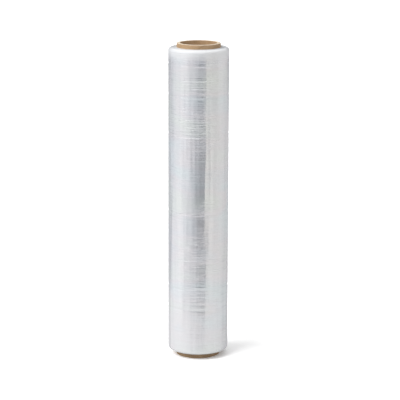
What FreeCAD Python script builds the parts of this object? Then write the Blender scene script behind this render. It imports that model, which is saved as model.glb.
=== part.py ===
import FreeCAD, Part
import math
import os

# Stretch wrap roll: a clear stretch film wound on a paperboard core that stands out of it at both ends.
# Millimetres, +Z up. The roll stands on its core, and the origin is on its axis at the core's lower end.

# Core
core_bore_diameter = 51.5
core_wall = 4.7
core_below_film = 7.8
core_above_film = 5.9
core_edge_break = 0.5

# Film, as wound on the core
film_width = 430.0
film_build = 11.8

# Loose end of the film: its step, and its place to the right of the front
tail_step = 0.2
tail_from_front_deg = 35.0

# Rounded shoulder at each end of the film
shoulder_radius = 4.5

# Turns that show on the flat of the film's ends: one spiral groove, with plain film left on both sides
turn_pitch = 1.8
turn_groove_width = 0.4
turn_groove_depth = 0.45
turn_land = 0.6

# Slack bands: soft valleys round the roll where the film was wound loose, placed as shares of its width
slack_band_width = 7.0
slack_band_depth = 0.4
slack_band_places = (0.150, 0.218, 0.469, 0.724, 0.850, 0.950)

core_bore_radius = core_bore_diameter / 2
core_radius = core_bore_radius + core_wall
core_length = core_below_film + film_width + core_above_film
film_radius = core_radius + film_build
film_bottom = core_below_film
film_top = film_bottom + film_width

CENTRE = FreeCAD.Vector(0, 0, 0)
AXIS = FreeCAD.Vector(0, 0, 1)

# The front of the roll faces -Y, and angles run counterclockwise from +X
FRONT_DEG = -90
TAIL_DEG = FRONT_DEG + tail_from_front_deg


def point(radius, height):
    """A point of a half section, in the XZ plane."""
    return FreeCAD.Vector(radius, 0, height)


def half_section(outline):
    """A face from a closed run of (start, middle, end) points: a line has no middle, and an arc has one."""
    edges = []
    for start, middle, end in outline:
        curve = Part.Arc(start, middle, end) if middle else Part.LineSegment(start, end)
        edges.append(curve.toShape())
    return Part.Face(Part.Wire(edges))


def rectangle(inner, outer, bottom, top):
    """A half section with four square corners."""
    corners = [point(inner, bottom), point(outer, bottom), point(outer, top), point(inner, top)]
    return Part.Face(Part.makePolygon(corners + corners[:1]))


def half_turn(section, index, pitch):
    """Turn a half section through half a lap of a spiral.

    Even laps turn about the roll's axis. Odd ones turn about a line half a pitch behind it, seen from
    the tail, so that laps whose radius falls by half a pitch each time join smoothly.
    """
    solid = section.revolve(CENTRE, AXIS, 180)
    solid.rotate(CENTRE, AXIS, TAIL_DEG + 180 * index)
    if index % 2:
        towards_tail = FreeCAD.Rotation(AXIS, TAIL_DEG).multVec(FreeCAD.Vector(1, 0, 0))
        solid.translate(towards_tail * (-pitch / 2))
    return solid


def make_core():
    """The paper tube, with the edges of its two cut ends lightly broken."""
    tube = rectangle(core_bore_radius, core_radius, 0, core_length).revolve(CENTRE, AXIS, 360)
    end_edges = [edge for edge in tube.Edges if edge.BoundBox.ZLength < core_edge_break]
    return tube.makeChamfer(core_edge_break, end_edges)


def film_section(radius):
    """Half section of the film out to a radius, with rounded shoulders and a banded side."""
    # The middle of a quarter circle lies this share of its radius inside the square corner
    cut_back = (1 - math.sqrt(0.5)) * shoulder_radius
    face_radius = radius - shoulder_radius
    # It starts inside the core's wall, and the hole for the core is cut when both halves are joined
    inner = core_bore_radius

    low_start = point(face_radius, film_bottom)
    low_middle = point(radius - cut_back, film_bottom + cut_back)
    side_start = point(radius, film_bottom + shoulder_radius)
    side_end = point(radius, film_top - shoulder_radius)
    high_middle = point(radius - cut_back, film_top - cut_back)
    high_end = point(face_radius, film_top)

    outline = [(low_start, low_middle, side_start)]
    here = side_start
    for place in slack_band_places:
        height = film_bottom + place * film_width
        band_start = point(radius, height - slack_band_width / 2)
        valley = point(radius - slack_band_depth, height)
        band_end = point(radius, height + slack_band_width / 2)
        outline.append((here, None, band_start))
        outline.append((band_start, None, valley))
        outline.append((valley, None, band_end))
        here = band_end
    outline.append((here, None, side_end))
    outline.append((side_end, high_middle, high_end))
    outline.append((high_end, None, point(inner, film_top)))
    outline.append((point(inner, film_top), None, point(inner, film_bottom)))
    outline.append((point(inner, film_bottom), None, low_start))
    return half_section(outline)


def turn_grooves():
    """The spiral groove between turns, in both ends of the film, one half lap at a time."""
    first_radius = film_radius - shoulder_radius - turn_land - turn_groove_width / 2
    last_radius = core_radius + turn_land + turn_groove_width / 2
    half_laps = int((first_radius - last_radius) / (turn_pitch / 2)) + 1
    grooves = []
    for index in range(half_laps):
        radius = first_radius - index * turn_pitch / 2
        inner = radius - turn_groove_width / 2
        outer = radius + turn_groove_width / 2
        top = rectangle(inner, outer, film_top - turn_groove_depth, core_length)
        bottom = rectangle(inner, outer, 0, film_bottom + turn_groove_depth)
        grooves.append(half_turn(top, index, turn_pitch))
        grooves.append(half_turn(bottom, index, turn_pitch))
    return grooves


def make_film():
    """All the film's turns as one solid: its outer lap is a spiral that ends in the tail's step."""
    first_half = half_turn(film_section(film_radius), 0, tail_step)
    second_half = half_turn(film_section(film_radius - tail_step / 2), 1, tail_step)
    wound = first_half.fuse(second_half)
    bore = Part.makeCylinder(core_radius, film_width, point(0, film_bottom))
    return wound.cut([bore] + turn_grooves())


def write(node, shape):
    """Write one piece and say what it is."""
    shape.exportStep("parts/" + node + ".step")
    box = shape.optimalBoundingBox()
    size = "%.2f x %.2f x %.2f mm" % (box.XLength, box.YLength, box.ZLength)
    volume = "%.1f cm3" % (shape.Volume / 1000)
    print(node, size, volume, "solids", len(shape.Solids), "valid", shape.isValid())


os.makedirs("parts", exist_ok=True)
write("cardboard_core", make_core())
write("film_roll", make_film())
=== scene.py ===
# %% [markdown]
# The part was drawn at its real size first, as two solids: the paper core and the film wound on it.
# They are loaded as a fixed frame. Every piece made here is in metres in that same frame, so a piece goes
# where its solid is, with no fitting.

# %% Load the frame
import math

import bmesh
import bpy
from mathutils import Matrix, Vector, noise


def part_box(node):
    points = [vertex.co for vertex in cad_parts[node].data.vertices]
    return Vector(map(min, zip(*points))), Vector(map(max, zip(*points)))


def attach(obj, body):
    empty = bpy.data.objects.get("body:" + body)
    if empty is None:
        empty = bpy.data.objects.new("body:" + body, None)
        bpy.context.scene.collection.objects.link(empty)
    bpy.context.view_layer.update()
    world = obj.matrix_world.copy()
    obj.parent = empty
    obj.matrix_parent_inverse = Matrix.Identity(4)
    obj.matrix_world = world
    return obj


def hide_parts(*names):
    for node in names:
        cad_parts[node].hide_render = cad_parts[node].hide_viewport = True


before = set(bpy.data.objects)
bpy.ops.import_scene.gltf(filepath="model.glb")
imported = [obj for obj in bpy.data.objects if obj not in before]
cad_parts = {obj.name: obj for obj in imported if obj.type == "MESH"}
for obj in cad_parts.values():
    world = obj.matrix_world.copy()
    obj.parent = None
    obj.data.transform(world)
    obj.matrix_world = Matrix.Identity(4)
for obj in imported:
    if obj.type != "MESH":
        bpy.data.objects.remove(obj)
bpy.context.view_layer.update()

# %% [markdown]
# Sizes are read from the frame where it has them: the two nodes' boxes give the core's radius and all the
# heights. What the boxes can't say, such as the bore, the largest radius of the film's outer spiral and the
# place where that spiral ends, is repeated here in millimetres and turned into metres.

# %% Sizes from the frame
MM = 0.001
core_low, core_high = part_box("cardboard_core")
film_low, film_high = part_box("film_roll")
CORE_RADIUS = (core_high[0] - core_low[0]) / 2
CORE_LENGTH = core_high[2] - core_low[2]
BORE_RADIUS = 25.75 * MM
FILM_RADIUS = 42.25 * MM
FILM_BOTTOM = film_low[2]
FILM_TOP = film_high[2]
FILM_WIDTH = FILM_TOP - FILM_BOTTOM
TAIL_STEP = 0.2 * MM
TAIL_ANGLE = math.radians(-55)
print("core radius %.2f mm, film radius %.2f mm" % (CORE_RADIUS / MM, FILM_RADIUS / MM))

# %% [markdown]
# Both pieces are turned shapes, so both are made the way a lathe would. A half section is drawn in the XZ
# plane, its corners are rounded while it is still flat, and its long sides are divided finely enough to
# carry small ridges. A cylinder primitive would have needed its bore cut and its rims bevelled afterwards,
# and it would have no rows of points for the ridges.

# %% Draw, round and divide a half section
def half_section(inner, outer, bottom, top):
    """A flat rectangular face in the XZ plane, as a new bmesh."""
    section = bmesh.new()
    corners = [(inner, 0, bottom), (outer, 0, bottom), (outer, 0, top), (inner, 0, top)]
    section.faces.new([section.verts.new(corner) for corner in corners])
    return section


def round_corners(section, radius, segments, chosen):
    """Round the section's corners that a test picks, and leave only its outline."""
    corners = [vert for vert in section.verts if chosen(vert.co)]
    bmesh.ops.bevel(
        section, geom=corners, offset=radius, offset_type="OFFSET", affect="VERTICES",
        segments=segments, profile=0.5, material=-1,
    )
    bmesh.ops.delete(section, geom=section.faces[:], context="FACES_ONLY")


def divide(section, cuts, chosen):
    """Divide the section's edges that a test picks, by the middle and the length of each edge."""
    picked = []
    for edge in section.edges:
        middle = (edge.verts[0].co + edge.verts[1].co) / 2
        if chosen(middle, edge.calc_length()):
            picked.append(edge)
    bmesh.ops.subdivide_edges(section, edges=picked, cuts=cuts)


# %% [markdown]
# A full spin turns the outline into a ring. A spin's time grows with the square of its steps, so the outline
# is spun through one sector only, the sector is copied round the axis, and the seams are merged, which is
# much quicker. The normals are recalculated last, because a spin may leave them pointing inwards.

# %% Spin the outline round the axis
SECTORS = 12


def spin_round(section, steps):
    """Spin the outline through one sector, copy the sector round the axis, and close the seams."""
    outline = section.verts[:] + section.edges[:]
    sweep = math.tau / SECTORS
    bmesh.ops.spin(
        section, geom=outline, cent=(0, 0, 0), axis=(0, 0, 1), angle=sweep, steps=steps // SECTORS,
    )
    sector = section.verts[:] + section.edges[:] + section.faces[:]
    for index in range(1, SECTORS):
        copied = bmesh.ops.duplicate(section, geom=sector)["geom"]
        verts = [item for item in copied if isinstance(item, bmesh.types.BMVert)]
        turn = Matrix.Rotation(sweep * index, 3, "Z")
        bmesh.ops.rotate(section, verts=verts, cent=(0, 0, 0), matrix=turn)
    bmesh.ops.remove_doubles(section, verts=section.verts, dist=0.01 * MM)
    bmesh.ops.recalc_face_normals(section, faces=section.faces)


# %% [markdown]
# Each finished mesh becomes an object that takes the place of one solid. It rides on the roll's only body.

# %% Make an object of a mesh
def make_piece(name, mesh_maker, node):
    """Turn a bmesh into a smooth-shaded object that replaces a solid of the frame."""
    mesh = bpy.data.meshes.new(name)
    mesh_maker.to_mesh(mesh)
    mesh_maker.free()
    for polygon in mesh.polygons:
        polygon.use_smooth = True
    piece = bpy.data.objects.new(name, mesh)
    bpy.context.scene.collection.objects.link(piece)
    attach(piece, "root")
    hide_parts(node)
    print(name, "has", sum(len(polygon.vertices) - 2 for polygon in mesh.polygons), "triangles")
    return piece


# %% [markdown]
# The film is hundreds of turns of clear film, each some 0.02 mm thick. It was stretched unevenly as it was
# wound, so the side of the roll isn't smooth: slack bands lie a little lower than tight ones, and fine
# ridges, called gauge bands, run round it between them. They are moved into the mesh, not only painted,
# because they catch the light at the roll's outline and break up its reflections.

# %% Bands and ridges of the film's side
SLACK_WIDTH, SLACK_DEPTH = 5.5 * MM, 0.34 * MM
FAINT_WIDTH, FAINT_DEPTH = 4.0 * MM, 0.10 * MM
BAND_WANDER = 0.8 * MM
BROAD_RIDGE, BROAD_DEPTH = 4.5 * MM, 0.06 * MM
FINE_RIDGE, FINE_DEPTH = 1.9 * MM, 0.035 * MM
BANDS = [(share, SLACK_WIDTH, SLACK_DEPTH) for share in (0.150, 0.218, 0.469, 0.724, 0.850, 0.950)]
BANDS += [(share, FAINT_WIDTH, FAINT_DEPTH) for share in (0.071, 0.304, 0.401, 0.568, 0.647, 0.902)]


def band_dip(height, angle):
    """How far the slack and faint bands lie below the film's side, in metres."""
    for share, width, depth in BANDS:
        away = height - FILM_BOTTOM - share * FILM_WIDTH
        if abs(away) > width:
            continue
        wander = BAND_WANDER * noise.noise(Vector((math.cos(angle), math.sin(angle), share * 90)))
        across = abs(away - wander) / (width / 2)
        if across < 1:
            return depth * (0.5 + 0.5 * math.cos(math.pi * across))
    return 0.0


def ridge_dip(height, angle):
    """Gauge ridges of two widths, stretched round the roll so that they read as streaks."""
    around = Vector((math.cos(angle), math.sin(angle), 0))
    broad = noise.noise(around * 1.2 + Vector((0, 0, height / BROAD_RIDGE)))
    fine = noise.noise(around * 2.6 + Vector((7, 3, height / FINE_RIDGE)))
    return BROAD_DEPTH * (0.5 + 0.5 * broad) + FINE_DEPTH * (0.5 + 0.5 * fine)


# %% [markdown]
# The ends of the film are the edges of all its turns, and the outer lap ends in a loose edge, the tail. Both
# are spirals that start at the tail. The turns are far too thin to model, so on the flat of each end one
# groove with a coarse pitch stands for them, at the place that it has in the solids.

# %% Spirals of the outer lap and of the ends
TURN_PITCH, TURN_HALF_WIDTH, TURN_DEPTH = 1.8 * MM, 0.6 * MM, 0.35 * MM
TURN_START = 36.95 * MM
TURN_LAND = 0.6 * MM


def lap_share(angle):
    """How far round from the tail a point lies, from 0 to 1."""
    return (angle - TAIL_ANGLE) % math.tau / math.tau


def turn_dip(radius, angle):
    """The spiral groove between turns: a lap after the tail, it lies a pitch further in."""
    laps = (TURN_START - radius) / TURN_PITCH - lap_share(angle)
    across = abs(laps - round(laps)) * TURN_PITCH / TURN_HALF_WIDTH
    outside = radius > TURN_START + TURN_HALF_WIDTH or radius < CORE_RADIUS + TURN_LAND
    if outside or across > 1:
        return 0.0
    return TURN_DEPTH * (0.5 + 0.5 * math.cos(math.pi * across))


def lap_loss(angle):
    """How far the outer lap lies in: nothing for half a lap, then more, up to a full step at the tail."""
    turned = lap_share(angle)
    if turned < 0.5:
        return 0.0
    return TAIL_STEP * (0.5 + 0.5 * math.cos(turned * math.tau))


# %% [markdown]
# The film's half section has round shoulders, because the outer turns sit a little further in at their
# edges. Its side gets a row of points every millimetre or so, which is as fine as the narrow ridges need,
# and the flat of each end gets one every 0.2 mm, for the groove.

# %% Turn the film
SHOULDER = 4.5 * MM
SHOULDER_SEGMENTS = 8
SIDE_CUTS, END_CUTS = 455, 35
FILM_STEPS = 180
film = half_section(CORE_RADIUS, FILM_RADIUS, FILM_BOTTOM, FILM_TOP)
round_corners(film, SHOULDER, SHOULDER_SEGMENTS, lambda co: co.x > (CORE_RADIUS + FILM_RADIUS) / 2)
divide(film, SIDE_CUTS, lambda co, length: length > FILM_WIDTH / 2 and co.x > FILM_RADIUS - 1 * MM)
divide(film, END_CUTS, lambda co, length: 4 * MM < length < 10 * MM and co.x < FILM_RADIUS - SHOULDER)
spin_round(film, FILM_STEPS)
print("the film has", len(film.verts), "points before it is shaped")

# %% [markdown]
# The points of the smooth ring are now moved: those of the side and the shoulders towards the axis, and
# those of the two flats into the roll. Nothing moves outwards, so the film stays in the box of its solid.

# %% Shape the film's side and ends
FLAT_RADIUS = FILM_RADIUS - SHOULDER + 0.3 * MM
CORE_MARGIN = 0.3 * MM
RING_DEPTH = 0.12 * MM
for vert in film.verts:
    radius = math.hypot(vert.co.x, vert.co.y)
    angle = math.atan2(vert.co.y, vert.co.x)
    if radius > FLAT_RADIUS:
        new_radius = radius - lap_loss(angle)
        if radius > FILM_RADIUS - 0.01 * MM:
            new_radius -= band_dip(vert.co.z, angle) + ridge_dip(vert.co.z, angle)
        vert.co.x *= new_radius / radius
        vert.co.y *= new_radius / radius
    elif radius > CORE_RADIUS + CORE_MARGIN:
        inward = 1 if vert.co.z < (FILM_BOTTOM + FILM_TOP) / 2 else -1
        ring = noise.noise(Vector((0, 5, (radius / MM + lap_share(angle) * 0.8) * 1.7)))
        vert.co.z += inward * (RING_DEPTH * (1 + ring) + turn_dip(radius, angle))
wound_film = make_piece("wound_film", film, "film_roll")

# %% [markdown]
# The core is wound from strips of brown paper, glued one on another in a spiral. Its cut ends show the
# plies as thin rings, and their edges are a little soft from the saw. The plies are small grooves in the
# mesh of the cut ends. The seam of the outer strip is left to the material, because it is only a line.

# %% Make the core
EDGE = 0.5 * MM
EDGE_SEGMENTS = 3
CORE_STEPS = 120
PLIES = 9
ROWS_PER_PLY = 4
PLY_GROOVE = 0.15 * MM
core = half_section(BORE_RADIUS, CORE_RADIUS, 0, CORE_LENGTH)
round_corners(core, EDGE, EDGE_SEGMENTS, lambda co: True)
divide(core, ROWS_PER_PLY * PLIES - 1, lambda co, length: 3 * MM < length < 10 * MM)
spin_round(core, CORE_STEPS)
ply = (CORE_RADIUS - BORE_RADIUS - 2 * EDGE) / PLIES
for vert in core.verts:
    radius = math.hypot(vert.co.x, vert.co.y)
    at_end = min(vert.co.z, CORE_LENGTH - vert.co.z) < 0.01 * MM
    if at_end and BORE_RADIUS + EDGE < radius < CORE_RADIUS - EDGE:
        across = (radius - BORE_RADIUS - EDGE) / ply
        if abs(across - round(across)) < 0.1:
            vert.co.z += PLY_GROOVE if vert.co.z < CORE_LENGTH / 2 else -PLY_GROOVE
paper_core = make_piece("paper_core", core, "cardboard_core")

# %% [markdown]
# Colours are written as the sRGB hex values that a colour picker gives, and one function turns them into
# the linear numbers that the shaders want. A second small function adds a node, sets its values and links
# its inputs in one call, so that a material reads as a list of what it is made of.

# %% Helpers for materials
def linear(hex_colour):
    """An sRGB hex colour as linear RGBA."""
    channels = [int(hex_colour[i : i + 2], 16) / 255 for i in (1, 3, 5)]
    return [c / 12.92 if c <= 0.04045 else ((c + 0.055) / 1.055) ** 2.4 for c in channels] + [1.0]


def add(tree, kind, settings=None, **inputs):
    """Add a node, set its properties, and set or link its inputs by name or number (as _0, _1)."""
    node = tree.nodes.new("ShaderNode" + kind)
    for key, value in (settings or {}).items():
        setattr(node, key, value)
    for key, value in inputs.items():
        socket = node.inputs[int(key[1:])] if key[0] == "_" else node.inputs[key.replace("_", " ")]
        if isinstance(value, bpy.types.NodeSocket):
            tree.links.new(value, socket)
        else:
            socket.default_value = value
    return node


def new_material(name):
    """An empty node material, its tree and its output node."""
    material = bpy.data.materials.new(name)
    material.use_nodes = True
    material.node_tree.nodes.clear()
    return material, material.node_tree, material.node_tree.nodes.new("ShaderNodeOutputMaterial")


def ramp(tree, factor, stops):
    """Colours along a factor, from (place, hex colour) stops."""
    node = add(tree, "ValToRGB", Fac=factor)
    while len(node.color_ramp.elements) < len(stops):
        node.color_ramp.elements.new(1.0)
    for element, (place, colour) in zip(node.color_ramp.elements, stops):
        element.position = place
        element.color = linear(colour)
    return node.outputs["Color"]


# %% [markdown]
# Two kinds of pattern come back in both materials. Streaks and fibres are noise on coordinates that are
# stretched, so that each scale is one over a real length in metres. The turns' edges and the core's seam are
# lines that gain one pitch in each turn about the axis, found from the angle of each point.

# %% Helpers for patterns
def stretched(tree, scale, offset=(0, 0, 0)):
    """Object coordinates in metres, times a scale for each axis."""
    coordinates = add(tree, "TexCoord").outputs["Object"]
    return add(tree, "Mapping", Vector=coordinates, Scale=scale, Location=offset).outputs["Vector"]


def spiral_line(tree, distance, pitch, turn_sign, start, half_width):
    """1 on a line that gains one pitch of a distance in each turn, fading to 0 at its half width."""
    parts = add(tree, "SeparateXYZ", Vector=add(tree, "TexCoord").outputs["Object"])
    angle = add(tree, "Math", {"operation": "ARCTAN2"}, _0=parts.outputs["Y"], _1=parts.outputs["X"])
    turns = add(tree, "Math", {"operation": "DIVIDE"}, _0=angle.outputs[0], _1=turn_sign * math.tau)
    laps = add(tree, "Math", {"operation": "DIVIDE"}, _0=distance, _1=pitch)
    spiral = add(tree, "Math", {"operation": "SUBTRACT"}, _0=laps.outputs[0], _1=turns.outputs[0])
    from_start = add(tree, "Math", {"operation": "SUBTRACT"}, _0=spiral.outputs[0], _1=start / pitch)
    away = add(tree, "Math", {"operation": "PINGPONG"}, _0=from_start.outputs[0], _1=0.5)
    line = add(
        tree, "MapRange", Value=away.outputs[0], From_Max=half_width / pitch, To_Min=1.0, To_Max=0.0,
    )
    return line.outputs[0]


# %% [markdown]
# The film is LLDPE, linear low-density polyethylene, blown or cast some 0.02 mm thick. One layer is clear,
# with an index of 1.51. Hundreds of layers with thin air gaps between them work like a pile of glass
# plates: each surface sends back a few percent, and together they shine silver, with a grey-white haze from
# the light that wanders between them. So the shader is part metallic and part pale diffuse, under a clear
# coat that is the outermost layer. First come the streaks that the uneven stretching leaves.

# %% Film: streaks
film_material, tree, output = new_material("LLDPE film, wound in layers")
# Gauge streaks: 2 to 3 mm high, and about 60 mm long round the roll
streaks = add(
    tree, "TexNoise", Vector=stretched(tree, (17, 17, 380)), Scale=1.0, Detail=3.0, Roughness=0.65,
)
# Finer lines between them, some 40 mm long and about 1.5 mm high
lines = add(
    tree, "TexNoise", Vector=stretched(tree, (25, 25, 620), (3, 1, 7)), Scale=1.0, Detail=2.0, Roughness=0.5,
)
# Patches some 40 mm high where the streaks are strong, and calm ones between them
patches = add(
    tree, "TexNoise", Vector=stretched(tree, (12, 12, 24), (5, 2, 1)), Scale=1.0, Detail=2.0, Roughness=0.5,
)
CALM, BUSY = 0.35, 1.35
LINE_SHARE = 0.4
busy = add(
    tree, "MapRange", Value=patches.outputs["Fac"], From_Min=0.38, From_Max=0.62, To_Min=CALM, To_Max=BUSY,
)
grain = add(
    tree, "Mix", {"data_type": "FLOAT"}, _0=LINE_SHARE, _2=streaks.outputs["Fac"], _3=lines.outputs["Fac"],
)
centred = add(tree, "Math", {"operation": "SUBTRACT"}, _0=grain.outputs[0], _1=0.5)
uneven = add(tree, "Math", {"operation": "MULTIPLY"}, _0=centred.outputs[0], _1=busy.outputs[0])

# %% [markdown]
# The film isn't the same all the way up. Near the foot the turns are slacker, so more air lies between them
# and the film is hazier. Under the upper shoulder they were pressed less too, and the same haze shows there
# for a finger's width. Both places are also painted whiter than the film is, which is painted light: a
# painted highlight under the upper shoulder and a painted lighter foot. The flat of each end is the cut
# edges
# of all the turns: white, nearly matt, and no mirror. Three masks find these places from the height and from
# the distance to the axis.

# %% Film: where it is slack or painted lighter, and where its ends are
SLACK_FROM, SLACK_TO = 85 * MM, 115 * MM
EASED_FROM, EASED_TO = FILM_TOP - 18 * MM, FILM_TOP - 5 * MM
END_EDGE = FILM_RADIUS - SHOULDER
parts = add(tree, "SeparateXYZ", Vector=add(tree, "TexCoord").outputs["Object"])
# The foot and shoulder masks also carry painted light: below, they paint the film's colour whiter
slack_and_painted_light = add(
    tree, "MapRange", {"interpolation_type": "SMOOTHSTEP"}, Value=parts.outputs["Z"],
    From_Min=SLACK_FROM, From_Max=SLACK_TO, To_Min=1.0, To_Max=0.0,
)
eased_and_painted_light = add(
    tree, "MapRange", {"interpolation_type": "SMOOTHSTEP"}, Value=parts.outputs["Z"],
    From_Min=EASED_FROM, From_Max=EASED_TO,
)
axis_line = add(tree, "CombineXYZ", Z=parts.outputs["Z"])
from_axis = add(
    tree, "VectorMath", {"operation": "DISTANCE"}, _0=add(tree, "TexCoord").outputs["Object"],
    _1=axis_line.outputs[0],
)
flat_end = add(
    tree, "MapRange", Value=from_axis.outputs["Value"], From_Min=END_EDGE + 0.4 * MM,
    From_Max=END_EDGE - 0.4 * MM,
)

# %% [markdown]
# The shine is how much of the light comes back as from a mirror. The streaks raise and lower it, and the
# hazy places have less of it. Their gloss is more blurred too.

# %% Film: shine and gloss
SHINE, END_SHINE = 0.62, 0.05
FOOT_LOSS, EASED_LOSS, STREAK_LOSS = 0.06, 0.36, 0.34
SIDE_ROUGHNESS, EASED_ROUGHNESS, END_ROUGHNESS = 0.26, 0.40, 0.45
foot_shine = add(
    tree, "Math", {"operation": "MULTIPLY_ADD"}, _0=slack_and_painted_light.outputs[0], _1=-FOOT_LOSS, _2=SHINE,
)
clear_shine = add(
    tree, "Math", {"operation": "MULTIPLY_ADD"}, _0=eased_and_painted_light.outputs[0], _1=-EASED_LOSS,
    _2=foot_shine.outputs[0],
)
side_shine = add(
    tree, "Math", {"operation": "MULTIPLY_ADD", "use_clamp": True}, _0=uneven.outputs[0],
    _1=-STREAK_LOSS, _2=clear_shine.outputs[0],
)
shine = add(
    tree, "Mix", {"data_type": "FLOAT"}, _0=flat_end.outputs[0], _2=side_shine.outputs[0], _3=END_SHINE,
)
blurred = add(
    tree, "MapRange", Value=eased_and_painted_light.outputs[0], To_Min=SIDE_ROUGHNESS, To_Max=EASED_ROUGHNESS,
)
gloss = add(
    tree, "Mix", {"data_type": "FLOAT"}, _0=flat_end.outputs[0], _2=blurred.outputs[0], _3=END_ROUGHNESS,
)

# %% [markdown]
# The side is a cool grey-white with a faint play of colour, as thin layers with air between them have, and
# it is painted whiter near the upper shoulder and, much less, at the foot: painted light, a painted
# highlight under the shoulder and a painted lighter foot. On the ends, fine rings of light and dark are the
# edges of single turns, drawn coarser than they are so that they show, and the spiral groove is painted as a
# darker line, which is painted shade in the groove.

# %% Film: colour
# How much whiter the foot is painted: painted light
FOOT_PAINTED_LIGHT = 0.12
# Patches some 70 mm round the roll and 35 mm high
tint = add(
    tree, "TexNoise", Vector=stretched(tree, (14, 14, 30), (2, 8, 4)), Scale=1.0, Detail=2.0, Roughness=0.5,
)
side_colour = ramp(
    tree, tint.outputs["Fac"],
    [(0.30, "#E0E6E9"), (0.42, "#E3E4E8"), (0.50, "#E6E4E7"), (0.58, "#E4E5E7"), (0.70, "#E4E7E6")],
)
painted_foot_light = add(tree, "Math", {"operation": "MULTIPLY"}, _0=slack_and_painted_light.outputs[0], _1=FOOT_PAINTED_LIGHT)
painted_light_haze = add(tree, "Math", {"operation": "MAXIMUM"}, _0=eased_and_painted_light.outputs[0], _1=painted_foot_light.outputs[0])
# Mixing in the whiter colour is painted light: a painted highlight under the upper shoulder and a lighter
# foot
painted_light_side_colour = add(
    tree, "Mix", {"data_type": "RGBA"}, _0=painted_light_haze.outputs[0], _6=side_colour, _7=linear("#F1F2F4"),
)
# Rings some 0.7 mm apart, for turns of 0.02 mm
turn_edges = add(
    tree, "TexNoise", {"noise_dimensions": "1D"}, W=from_axis.outputs["Value"], Scale=1400.0, Detail=3.0,
)
edge_colour = ramp(tree, turn_edges.outputs["Fac"], [(0.35, "#CFD2D5"), (0.65, "#EAECEE")])
# The groove starts at the tail, so where it crosses +X it is already a share of a pitch further in
GROOVE_AT_RIGHT = TURN_START + TURN_PITCH * TAIL_ANGLE / math.tau
GROOVE_SHADE_WIDTH = 0.25 * MM
groove_shade_line = spiral_line(tree, from_axis.outputs["Value"], TURN_PITCH, -1, GROOVE_AT_RIGHT, GROOVE_SHADE_WIDTH)
# The groove is painted darker here: painted shade in the groove
end_colour = add(tree, "Mix", {"data_type": "RGBA"}, _0=groove_shade_line, _6=edge_colour, _7=linear("#A9AEB3"))
film_colour = add(
    tree, "Mix", {"data_type": "RGBA"}, _0=flat_end.outputs[0], _6=painted_light_side_colour.outputs[2],
    _7=end_colour.outputs[2],
)

# %% [markdown]
# The streaks are also a bump, and so are long faint waves up and down the roll, where the film is drawn in
# towards its core. The gloss is stretched across the ridges, up and down the roll, as on anything with fine
# lines all one way: that is what anisotropy does, about a tangent that runs round the axis.

# %% Film: bump and shader
STREAK_BUMP, WAVE_BUMP = 1.3 * MM, 1.0 * MM
bump_streaks = add(tree, "Bump", Height=uneven.outputs[0], Strength=1.0, Distance=STREAK_BUMP)
# Waves some 8 mm apart and 125 mm long
waves = add(
    tree, "TexNoise", Vector=stretched(tree, (130, 130, 8), (1, 6, 2)), Scale=1.0, Detail=1.0, Roughness=0.5,
)
bump = add(
    tree, "Bump", Height=waves.outputs["Fac"], Normal=bump_streaks.outputs["Normal"], Strength=1.0,
    Distance=WAVE_BUMP,
)
around = add(tree, "Tangent", {"direction_type": "RADIAL", "axis": "Z"})
film_shader = add(
    tree, "BsdfPrincipled", Base_Color=film_colour.outputs[2], Metallic=shine.outputs[0],
    Roughness=gloss.outputs[0], IOR=1.51, Anisotropic=0.5, Anisotropic_Rotation=0.25,
    Tangent=around.outputs["Tangent"], Specular_Tint=linear("#B4B4B8"), Coat_Weight=0.25,
    Coat_Roughness=0.12, Coat_IOR=1.5, Normal=bump.outputs["Normal"],
)
tree.links.new(film_shader.outputs["BSDF"], output.inputs["Surface"])
wound_film.data.materials.append(film_material)
print("the film's material has", len(tree.nodes), "nodes")

# %% [markdown]
# The core is spiral-wound chipboard: brown recycled paper, matt, with short fibres and small specks in
# it. The saw leaves the cut ends paler than the faces, because they show torn fibres, and they are painted
# paler still, as a painted highlight on the rims. The outer strip's seam is a thin line that climbs round
# the tube, 117 mm in each turn.

# %% Core: colours
SEAM_LEAD = 117 * MM
SEAM_LINE = 0.7 * MM
core_material, tree, output = new_material("Spiral-wound chipboard")
coordinates = add(tree, "TexCoord").outputs["Object"]
height = add(tree, "SeparateXYZ", Vector=coordinates).outputs["Z"]
seam = spiral_line(tree, height, SEAM_LEAD, 1, 0.0, SEAM_LINE)
# Fibres 1 mm by 3 mm, much coarser than real ones so that they show, and blotches some 17 mm across
fibres = add(tree, "TexNoise", Vector=stretched(tree, (900, 900, 300)), Scale=1.0, Detail=4.0, Roughness=0.7)
blotches = add(tree, "TexNoise", Vector=coordinates, Scale=60.0, Detail=3.0)
mottle = add(
    tree, "Mix", {"data_type": "FLOAT"}, _0=0.45, _2=fibres.outputs["Fac"], _3=blotches.outputs["Fac"],
)
board_colour = ramp(tree, mottle.outputs[0], [(0.30, "#A88B6A"), (0.50, "#BC9D7B"), (0.70, "#CBAF8D")])
seam_colour = add(tree, "Mix", {"data_type": "RGBA"}, _0=seam, _6=board_colour, _7=linear("#8A6F53"))

# %% [markdown]
# The cut ends are told from the faces by how steeply the surface lies, so one material serves for both.

# %% Core: cut ends and shader
facing = add(tree, "SeparateXYZ", Vector=add(tree, "NewGeometry").outputs["True Normal"])
flatness = add(tree, "Math", {"operation": "ABSOLUTE"}, _0=facing.outputs["Z"])
cut_end = add(tree, "MapRange", Value=flatness.outputs[0], From_Min=0.35, From_Max=0.75)
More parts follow.
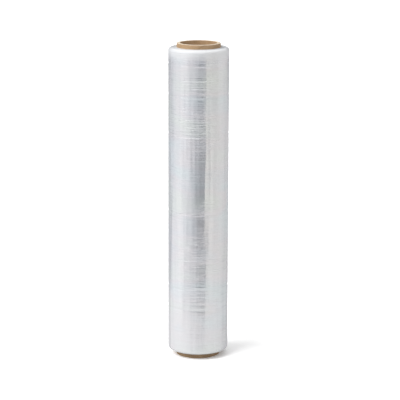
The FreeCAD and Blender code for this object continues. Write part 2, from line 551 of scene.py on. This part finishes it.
# The cut ends' colour is partly the paler torn fibres and partly a painted highlight
cut_colour_and_highlight = ramp(tree, fibres.outputs["Fac"], [(0.35, "#ECDDC6"), (0.65, "#F8EEDC")])
core_colour = add(
    tree, "Mix", {"data_type": "RGBA"}, _0=cut_end.outputs[0], _6=seam_colour.outputs[2], _7=cut_colour_and_highlight,
)
core_bump = add(tree, "Bump", Height=mottle.outputs[0], Strength=0.35, Distance=0.2 * MM)
core_shader = add(
    tree, "BsdfPrincipled", Base_Color=core_colour.outputs[2], Roughness=0.85, IOR=1.5,
    Specular_IOR_Level=0.3, Normal=core_bump.outputs["Normal"],
)
tree.links.new(core_shader.outputs["BSDF"], output.inputs["Surface"])
paper_core.data.materials.append(core_material)
print("the core's material has", len(tree.nodes), "nodes")

# %% [markdown]
# The roll stands on a table of white sweep paper that runs on behind it. The sheet lies a tenth of a
# millimetre under the core's cut end, so that the two faces don't fight for the same place.

# %% Table
TABLE_HALF, TABLE_DROP = 15, 0.1 * MM
table_maker = bmesh.new()
below = Matrix.Translation((0, 0, -TABLE_DROP))
bmesh.ops.create_grid(table_maker, x_segments=1, y_segments=1, size=TABLE_HALF, matrix=below)
table_mesh = bpy.data.meshes.new("table")
table_maker.to_mesh(table_mesh)
table_maker.free()
table = bpy.data.objects.new("table", table_mesh)
bpy.context.scene.collection.objects.link(table)
print("the table is", 2 * TABLE_HALF, "m wide")

# %% [markdown]
# The photo's table is fully white but for the roll's shadow. So the camera sees the paper over-exposed,
# which keeps only the deeper part of the shadow. The film's reflections see it mostly as plain white, with
# a share of the paper as it is lit. The light that the table throws back on the roll is a grey sheet's.

# %% Table paper
EXPOSURE = 1.48
LIT_SHARE = 0.45
table_material, tree, output = new_material("White sweep paper")
paper = add(tree, "BsdfDiffuse", Color=linear("#C4C4C4"))
exposed = add(tree, "BsdfDiffuse", Color=(EXPOSURE, EXPOSURE, EXPOSURE, 1.0))
lit = add(tree, "BsdfDiffuse", Color=linear("#FFFFFF"))
white = add(tree, "Emission", Color=linear("#FFFFFF"), Strength=1.0)
mirrored = add(tree, "MixShader", _0=LIT_SHARE, _1=white.outputs[0], _2=lit.outputs[0])
rays = add(tree, "LightPath")
through = add(
    tree, "Math", {"operation": "MAXIMUM"}, _0=rays.outputs["Is Glossy Ray"],
    _1=rays.outputs["Is Transmission Ray"],
)
unseen = add(tree, "MixShader", _0=through.outputs[0], _1=paper.outputs[0], _2=mirrored.outputs[0])
choice = add(
    tree, "MixShader", _0=rays.outputs["Is Camera Ray"], _1=unseen.outputs[0], _2=exposed.outputs[0],
)
tree.links.new(choice.outputs[0], output.inputs["Surface"])
table_mesh.materials.append(table_material)

# %% [markdown]
# The light is soft and even, as in a light tent: the room fills in from all sides, its ceiling is a little
# brighter in reflections, and the camera sees a white backdrop.

# %% Room
FILL, CEILING, BACKDROP = 0.56, 1.2, 1.0
world = bpy.data.worlds.new("room")
bpy.context.scene.world = world
world.use_nodes = True
tree = world.node_tree
tree.nodes.clear()
fill = add(tree, "Background", Color=linear("#FFFFFF"), Strength=FILL)
ceiling = add(tree, "Background", Color=linear("#FFFFFF"), Strength=CEILING)
backdrop = add(tree, "Background", Color=linear("#FFFFFF"), Strength=BACKDROP)
rays = add(tree, "LightPath")
gloss_room = add(
    tree, "MixShader", _0=rays.outputs["Is Glossy Ray"], _1=fill.outputs[0], _2=ceiling.outputs[0],
)
room = add(
    tree, "MixShader", _0=rays.outputs["Is Camera Ray"], _1=gloss_room.outputs[0], _2=backdrop.outputs[0],
)
world_output = tree.nodes.new("ShaderNodeOutputWorld")
tree.links.new(room.outputs[0], world_output.inputs["Surface"])

# %% [markdown]
# One broad key light comes from the left and the front, high enough that the roll's shadow falls to the
# right and a little back, as in the photo. A sun lamp with a wide angle is as soft as a large lamp nearby.
# Reflections don't see it, because the walls of the tent stand for it there.

# %% Key light
KEY_BEARING, KEY_HEIGHT = math.radians(-60), math.radians(46)
KEY_STRENGTH, KEY_WIDTH = 2.1, math.radians(50)
lamp = bpy.data.lights.new("left_key", "SUN")
lamp.energy = KEY_STRENGTH
lamp.angle = KEY_WIDTH
key = bpy.data.objects.new("left_key", lamp)
bpy.context.scene.collection.objects.link(key)
level = math.cos(KEY_HEIGHT)
towards = Vector((math.sin(KEY_BEARING) * level, -math.cos(KEY_BEARING) * level, math.sin(KEY_HEIGHT)))
key.rotation_euler = (-towards).to_track_quat("-Z", "Y").to_euler()
key.visible_glossy = False
print("the key light comes from", [round(value, 2) for value in towards])

# %% [markdown]
# A glossy roll shows the room, so what stands round it matters as much as the lamps. One leaning sheet
# goes all the way round, like the walls of a light tent, and only reflections see it.

# %% Walls of the light tent
WALL_FOOT, WALL_REACH, WALL_RISE = 0.40, 2.4, 1.6
WALL_STEPS = 96
wall_maker = bmesh.new()
low = wall_maker.verts.new((0, -WALL_FOOT, 1 * MM))
high = wall_maker.verts.new((0, -WALL_REACH, WALL_RISE))
lean = wall_maker.edges.new((low, high))
bmesh.ops.spin(
    wall_maker, geom=[low, high, lean], cent=(0, 0, 0), axis=(0, 0, 1), angle=math.tau, steps=WALL_STEPS,
    use_merge=True,
)
wall_mesh = bpy.data.meshes.new("tent_walls")
wall_maker.to_mesh(wall_mesh)
wall_maker.free()
walls = bpy.data.objects.new("tent_walls", wall_mesh)
bpy.context.scene.collection.objects.link(walls)
walls.visible_camera = False
walls.visible_diffuse = False
walls.visible_shadow = False
walls.visible_transmission = False
print("the tent's walls rise to", WALL_RISE, "m")

# %% [markdown]
# The walls' shade changes with the bearing, which is 0 at the front and counts to the right: white to the
# left, dark where the camera stands in the gap, and pale to the right. It also changes with the height, so
# there are three rows of shades. The foot of the wall is reflected low on the roll, the next row in most of
# it, and the high one under its upper shoulder. The foot glows a little more than the rest.

# %% Shades of the walls
FOOT_SHADES = [
    (-180, "#E7E7E7"), (-154, "#E7E7E7"), (-142, "#C4C7CB"), (-130, "#B1B5B9"), (-120, "#CFD2D8"),
    (-105, "#DDDFE3"), (-90, "#E8E9ED"), (-80, "#F8F8FA"), (-74, "#FFFFFF"), (-61, "#FFFFFF"),
    (-52, "#D2D2D5"), (-44, "#B0B0B3"), (-28, "#A3A5A8"), (-20, "#919298"), (-13, "#63686E"),
    (-5, "#40464B"), (4, "#353B40"), (20, "#393F44"), (25, "#53585E"), (29, "#B5B3AE"), (34, "#E1DFD8"),
    (50, "#E7E7E3"), (60, "#E7E5E1"), (68, "#DBD9D6"), (80, "#DFDDD9"), (108, "#E1E0DE"), (118, "#D6D5D3"),
    (128, "#E1E1DF"), (146, "#E7E7E7"), (180, "#E7E7E7"),
]
LOW_SHADES = [
    (-180, "#FFFFFF"), (-154, "#FFFFFF"), (-142, "#D8DCE0"), (-130, "#C4C8CC"), (-120, "#E4E8EE"),
    (-80, "#FFFFFF"), (-62, "#FFFFFF"), (-52, "#EEEEF2"), (-44, "#DADADE"), (-36, "#DEDEE2"),
    (-28, "#E6E6EA"), (-20, "#DCDEE2"), (-13, "#ACB2B8"), (-5, "#868C94"), (4, "#687078"), (20, "#6C747C"),
    (25, "#7E868E"), (29, "#C8C6C0"), (34, "#FFFDF5"), (50, "#FFFFFA"), (56, "#FFFDF8"), (63, "#D6D4D0"),
    (70, "#F6F4F0"), (108, "#F8F7F5"), (118, "#ECEBE9"), (128, "#F8F8F6"), (146, "#FFFFFF"),
    (180, "#FFFFFF"),
]
HIGH_SHADES = [
    (-180, "#9A9CA0"), (-155, "#9A9CA0"), (-125, "#C8CCD0"), (-85, "#E0E4E8"), (-55, "#FFFFFF"),
    (-40, "#FFFFFF"), (-25, "#D0D0D4"), (-10, "#D4D6DA"), (24, "#D4D6DA"), (30, "#CCCAC4"), (60, "#CCCAC4"),
    (85, "#F0F0EE"), (125, "#F0F0F0"), (155, "#9A9CA0"), (180, "#9A9CA0"),
]
LOW_FROM, LOW_TO = 0.045, 0.115
HIGH_FROM, HIGH_TO = 0.16, 0.50
FOOT_GLOW = 1.25

# %% [markdown]
# Each row becomes a colour ramp over the bearing, and two soft steps over the height blend the three rows.

# %% Cloth of the walls
wall_material, tree, output = new_material("Light tent cloth")
parts = add(tree, "SeparateXYZ", Vector=add(tree, "TexCoord").outputs["Object"])
ahead = add(tree, "Math", {"operation": "MULTIPLY"}, _0=parts.outputs["Y"], _1=-1.0)
bearing = add(tree, "Math", {"operation": "ARCTAN2"}, _0=parts.outputs["X"], _1=ahead.outputs[0])
round_share = add(tree, "MapRange", Value=bearing.outputs[0], From_Min=-math.pi, From_Max=math.pi)
foot_shade, low_shade, high_shade = (
    ramp(tree, round_share.outputs[0], [((degrees + 180) / 360, colour) for degrees, colour in shades])
    for shades in (FOOT_SHADES, LOW_SHADES, HIGH_SHADES)
)
low_rise, high_rise = (
    add(
        tree, "MapRange", {"interpolation_type": "SMOOTHSTEP"}, Value=parts.outputs["Z"], From_Min=bottom,
        From_Max=top,
    )
    for bottom, top in ((LOW_FROM, LOW_TO), (HIGH_FROM, HIGH_TO))
)
lower = add(tree, "Mix", {"data_type": "RGBA"}, _0=low_rise.outputs[0], _6=foot_shade, _7=low_shade)
blend = add(tree, "Mix", {"data_type": "RGBA"}, _0=high_rise.outputs[0], _6=lower.outputs[2], _7=high_shade)
glow = add(tree, "MapRange", Value=low_rise.outputs[0], To_Min=FOOT_GLOW, To_Max=1.0)
cloth = add(tree, "Emission", Color=blend.outputs[2], Strength=glow.outputs[0])
tree.links.new(cloth.outputs[0], output.inputs["Surface"])
wall_mesh.materials.append(wall_material)
print("the walls' cloth has", len(tree.nodes), "nodes")

# %% [markdown]
# Camera: a long lens a little above the roll's top, which is what makes its sides look nearly parallel.
# The place and the tilt come from matching the roll's outline and its end rings, at its real size.

# %% Camera
FRAME_PIXELS = 400
SENSOR = 36.0
FOCAL_PIXELS = 1766.9
FILM_WIDTHS_AWAY = (0.0057, -5.628, 1.740)
TILT, ROLL = math.radians(12.265), math.radians(0.195)
camera_data = bpy.data.cameras.new("camera")
camera_data.sensor_width = SENSOR
camera_data.lens = SENSOR * FOCAL_PIXELS / FRAME_PIXELS
camera_data.clip_end = 100
camera = bpy.data.objects.new("camera", camera_data)
bpy.context.scene.collection.objects.link(camera)
place = Vector(FILM_WIDTHS_AWAY) * FILM_WIDTH
turn = Matrix.Rotation(math.pi / 2 - TILT, 4, "X") @ Matrix.Rotation(ROLL, 4, "Z")
camera.matrix_world = Matrix.Translation(place) @ turn
bpy.context.scene.camera = camera
bpy.context.scene.view_settings.view_transform = "Standard"
print("the lens is %.0f mm, %.2f m from the roll's axis" % (camera_data.lens, place.xy.length))
